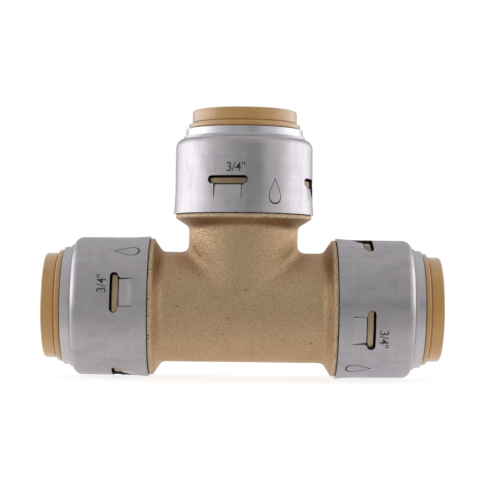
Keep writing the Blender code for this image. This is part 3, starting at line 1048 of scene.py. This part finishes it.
def make_grab_ring(socket):
    """Flat rim and bent teeth, each tooth a strip that narrows towards its tip."""
    across, along = 6, 9
    pitch = math.tau / TEETH
    half = pitch * TOOTH_ROOT_FILL / 2
    seat = GRAB_END - TOOTH_THICKNESS
    verts, faces = [], []
    index = {}

    def corner(radius, angle, station, layer):
        """Number of the vertex there, which is made if it is new."""
        key = (round(radius, 4), round(angle % math.tau, 5), layer)
        if key not in index:
            index[key] = len(verts)
            x, y = radius * math.cos(angle), radius * math.sin(angle)
            verts.append((x, y, station + layer * TOOTH_THICKNESS))
        return index[key]

    def patch(grid):
        """Both faces of a grid of (radius, angle, station)."""
        for row, after_row in zip(grid, grid[1:]):
            for a, b, c, d in zip(row, row[1:], after_row[1:], after_row):
                for layer in (0, 1):
                    faces.append([corner(*point, layer) for point in (a, b, c, d)])

    def wall(points):
        """The sheet's edge along a line of (radius, angle, station)."""
        for here, after in zip(points, points[1:]):
            faces.append([corner(*here, 0), corner(*after, 0), corner(*after, 1), corner(*here, 1)])

    for tooth in range(TEETH):
        middle = pitch * tooth
        spread = [middle - half + 2 * half * i / across for i in range(across + 1)]
        gap = [spread[-1] + (pitch - 2 * half) * i / 2 for i in range(3)]
        for angles in (spread, gap):
            patch([[(r, a, seat) for a in angles] for r in (GRAB_RADIUS, 15.0, TOOTH_ROOT_RADIUS)])
            wall([(GRAB_RADIUS, a, seat) for a in angles])
        wall([(TOOTH_ROOT_RADIUS, a, seat) for a in gap])
        strip = []
        for step in range(along + 1):
            share = step / along
            radius = TOOTH_ROOT_RADIUS + (TOOTH_TIP_RADIUS - TOOTH_ROOT_RADIUS) * share
            drop = TOOTH_LEAN * bent(share, TOOTH_BEND)
            narrow = 1 - (1 - TOOTH_TIP_FILL / TOOTH_ROOT_FILL) * share
            strip.append([(radius, middle + (a - middle) * narrow, seat - drop) for a in spread])
        patch(strip)
        wall(strip[-1])
        wall([row[0] for row in strip])
        wall([row[-1] for row in strip])
    bm = bmesh_of(verts, faces)
    return add_mesh(f"{socket}_tooth_ring", bm, MATERIALS["spring"], socket_matrix(socket))


def make_retainer(socket):
    """Ring that holds the O-ring in its seat, hollowed to a cone under the bent teeth."""
    flange = RETAINER_END - 0.9
    lip = RETAINER_START + 0.3
    profile = rounded([
        (RETAINER_START, RETAINER_SLEEVE, 0.2),
        (flange, RETAINER_SLEEVE, 0.1),
        (flange, STACK_RADIUS, 0.15),
        (RETAINER_END, STACK_RADIUS, 0.15),
        (RETAINER_END, STACK_BORE, 0.2),
        (lip, RETAINER_BORE + 0.3, 0.2),
        (lip, RETAINER_BORE, 0.1),
        (RETAINER_START, RETAINER_BORE, 0.1),
    ])
    return turned_piece(socket, "seal_retainer", profile, "retainer")


def make_o_ring(socket):
    steps = 28
    section = (O_RING_STOP - O_RING_START) / 2
    middle = (O_RING_START + O_RING_STOP) / 2
    ring = O_RING_OUTER_RADIUS - section
    profile = []
    for step in range(steps):
        angle = math.tau * step / steps
        profile.append((middle + section * math.cos(angle), ring + section * math.sin(angle)))
    return turned_piece(socket, "seal_ring", profile, "rubber")


def make_liner(socket):
    """Sleeve that stiffens a plastic pipe from inside, with a flange that the pipe stops on."""
    flange = LINER_START + 1.0
    profile = rounded([
        (LINER_START, LINER_BORE, 0.2),
        (LINER_START, LINER_FLANGE_RADIUS, 0.2),
        (flange, LINER_FLANGE_RADIUS, 0.2),
        (flange, LINER_RADIUS, 0.3),
        (LINER_END - 1.5, LINER_RADIUS, 0.6),
        (LINER_END, LINER_RADIUS - 0.4, 0.2),
        (LINER_END, LINER_BORE, 0.2),
    ])
    return turned_piece(socket, "pipe_stiffener", profile, "liner")


# ---- marks on the shells

def wrap_on_shell(bm, socket, angle, station):
    """Bends a flat drawing, x round the shell and y along it, onto the shell's outside."""
    edge = min(vert.co.x for vert in bm.verts)
    while edge < max(vert.co.x for vert in bm.verts):
        edge += MARK_STRIP
        geom = bm.verts[:] + bm.edges[:] + bm.faces[:]
        bmesh.ops.bisect_plane(bm, geom=geom, plane_co=(edge, 0, 0), plane_no=(1, 0, 0))
    outline = shell_outline()
    for vert in bm.verts:
        turn = math.radians(SOCKETS[socket][1] + angle) + vert.co.x / SHELL_RADIUS
        along = station + vert.co.y
        radius = float(np.interp(along, *zip(*outline))) + vert.co.z
        vert.co = (radius * math.sin(turn), -radius * math.cos(turn), along)


def make_size_mark(socket):
    """The pipe size, 3/4 in, burnt into the shell on the mouth side of the first slot."""
    curve = bpy.data.curves.new("size_text", "FONT")
    curve.body = '3/4"'
    curve.size = SIZE_FONT
    curve.space_character = 0.95
    curve.offset = 0.008
    curve.extrude = MARK_THICKNESS
    text = bpy.data.objects.new("size_text", curve)
    bpy.context.scene.collection.objects.link(text)
    bpy.context.view_layer.update()
    bm = bmesh.new()
    bm.from_mesh(evaluated(text))
    bmesh.ops.triangulate(bm, faces=bm.faces)
    remove(text)
    wrap_on_shell(bm, socket, SIZE_ANGLE, SIZE_STATION)
    return add_mesh(f"{socket}_size_mark", bm, MATERIALS["mark"], socket_matrix(socket))


def drop_outline(width, height):
    """A plain water drop, point up, about its middle."""
    steps = 48
    points = []
    for step in range(steps):
        turn = math.tau * step / steps
        pinch = math.sin(turn / 2) ** 1.6
        points.append(Vector((width / 2 * math.sin(turn) * pinch, height / 2 * math.cos(turn))))
    return points


def make_drop_mark(socket):
    """A generic water drop, drawn as a line, where such fittings carry a symbol."""
    outer, inner = drop_outline(*DROP_OUTSIDE), drop_outline(*DROP_INSIDE)
    verts = []
    for z in (-MARK_THICKNESS, MARK_THICKNESS):
        for loop in (outer, inner):
            verts += [(point.x, point.y, z) for point in loop]
    count = len(outer)
    faces = []
    for step in range(count):
        after = (step + 1) % count
        for first, second in ((0, 1), (2, 3), (0, 2), (1, 3)):
            faces.append((first * count + step, first * count + after,
                          second * count + after, second * count + step))
    bm = bmesh_of(verts, faces)
    wrap_on_shell(bm, socket, DROP_ANGLE, DROP_STATION)
    return add_mesh(f"{socket}_drop_mark", bm, MATERIALS["mark"], socket_matrix(socket))


# ---- assembly

def assemble():
    """Makes every piece in its finish, ties each but the grab rings to its body, and hides the CAD
    nodes they stand for.
    """
    tee = make_tee_body()
    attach(tee, "tee")
    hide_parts("tee_body")
    pieces = (
        (make_shell, "tee", "shell", "shell_steel"),
        (make_support, "tee", "support_ring", "support_plastic"),
        (make_retainer, "tee", "o_ring_retainer", "retainer_plastic"),
        (make_o_ring, "tee", "o_ring", "o_ring_rubber"),
        (make_collar, "{}_collar", "release_collar", "collar_plastic"),
        (make_liner, "{}_liner", "pipe_liner", "liner_plastic"),
    )
    for socket in SOCKETS:
        for make, body, node, slot in pieces:
            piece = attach(make(socket), body.format(socket))
            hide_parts(f"{socket}_{node}")
        for make in (make_size_mark, make_drop_mark):
            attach(make(socket), "tee")
        bend_grab_ring(socket)


def bend_grab_ring(socket):
    """Makes the grab ring, bakes its placement into its mesh and hides the CAD node it stands for."""
    ring = make_grab_ring(socket)
    out = socket_matrix(socket).to_3x3() @ Vector((0, 0, MM))
    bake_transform(ring)
    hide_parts(f"{socket}_grab_ring")


# ---- studio

def make_camera():
    """A long lens, level with the tee, whose axis passes a little above the run."""
    turn = (Matrix.Rotation(math.radians(CAMERA_ROLL), 3, "Y")
            @ Matrix.Rotation(math.radians(CAMERA_PITCH), 3, "X")
            @ Matrix.Rotation(math.radians(CAMERA_YAW), 3, "Z")).transposed()
    data = bpy.data.cameras.new("camera")
    data.lens = CAMERA_LENS
    data.clip_start, data.clip_end = 0.01, 50.0
    camera = bpy.data.objects.new("camera", data)
    bpy.context.scene.collection.objects.link(camera)
    place = turn @ Vector((0.0, -CAMERA_DISTANCE, AIM_HEIGHT)) * MM
    right, forward, up = (turn @ Vector(axis) for axis in ((1, 0, 0), (0, 1, 0), (0, 0, 1)))
    rotation = Matrix((right, up, -forward)).transposed()
    camera.matrix_world = Matrix.Translation(place) @ rotation.to_4x4()
    bpy.context.scene.camera = camera


def make_floor():
    """Pale paper with a glow of its own, which is weaker in front of the tee."""
    bm = bmesh.new()
    bmesh.ops.create_circle(bm, cap_ends=True, segments=96, radius=6000.0)
    bmesh.ops.translate(bm, vec=(0, 0, FLOOR_HEIGHT - 0.02), verts=bm.verts)
    paper = Surface("studio_paper")
    paper.set(Base_Color=(0.55, 0.55, 0.55, 1.0), Roughness=0.9, Specular_IOR_Level=0.1)
    paper.set(Emission_Color=(1.0, 1.0, 1.0, 1.0))
    glow = paper.ranged(paper.axes(paper.place)["Y"], -0.055, 0.008, 0.09, 0.52)
    paper.drive("Emission Strength", paper.light_and_view(glow, 0.72))
    add_mesh("studio_floor", bm, paper.material)


def make_world():
    """White tent: a bright panel on each side, a little behind, and dimmer all round.

    It is darker on the far right, and in front where a photographer would stand.
    """
    world = bpy.data.worlds.new("studio")
    world.use_nodes = True
    bpy.context.scene.world = world
    n = Nodes(world.node_tree)

    def facing(vector, toward):
        node = n.add("ShaderNodeVectorMath", operation="DOT_PRODUCT")
        n.link(vector, node.inputs[0])
        node.inputs[1].default_value = toward
        return node.outputs["Value"]

    direction = n.add("ShaderNodeTexCoord").outputs["Generated"]
    axes = n.axes(direction)
    aside = n.math("ABSOLUTE", axes["X"])
    folded = n.add("ShaderNodeCombineXYZ")
    n.link(aside, folded.inputs["X"])
    n.link(axes["Y"], folded.inputs["Y"])
    turn = math.radians(PANEL_TURN)
    panel = (math.cos(turn), math.sin(turn), 0.0)
    light = n.ranged(facing(folded.outputs["Vector"], panel), 0.63088, 1.01992, 0.43, 1.40)
    sides = n.ranged(aside, 0.42, 0.66, 0.0, 0.20)
    right = n.ranged(axes["X"], 0.80, 0.95, 0.0, -0.20)
    back = n.ranged(axes["Y"], -0.9, 0.2, 0.0, 0.12)
    front = n.ranged(facing(direction, (0.30, -0.95, -0.08)), 0.90, 0.985, 0.0, -0.16)
    for extra in (sides, right, back, front):
        light = n.math("ADD", light, extra)
    background = n.tree.nodes["Background"]
    n.link(n.light_and_view(light, 1.0), background.inputs["Strength"])
    background.inputs["Color"].default_value = (1.0, 1.0, 1.0, 1.0)


make_camera()
assemble()
make_floor()
make_world()
bpy.context.scene.view_settings.view_transform = "Standard"
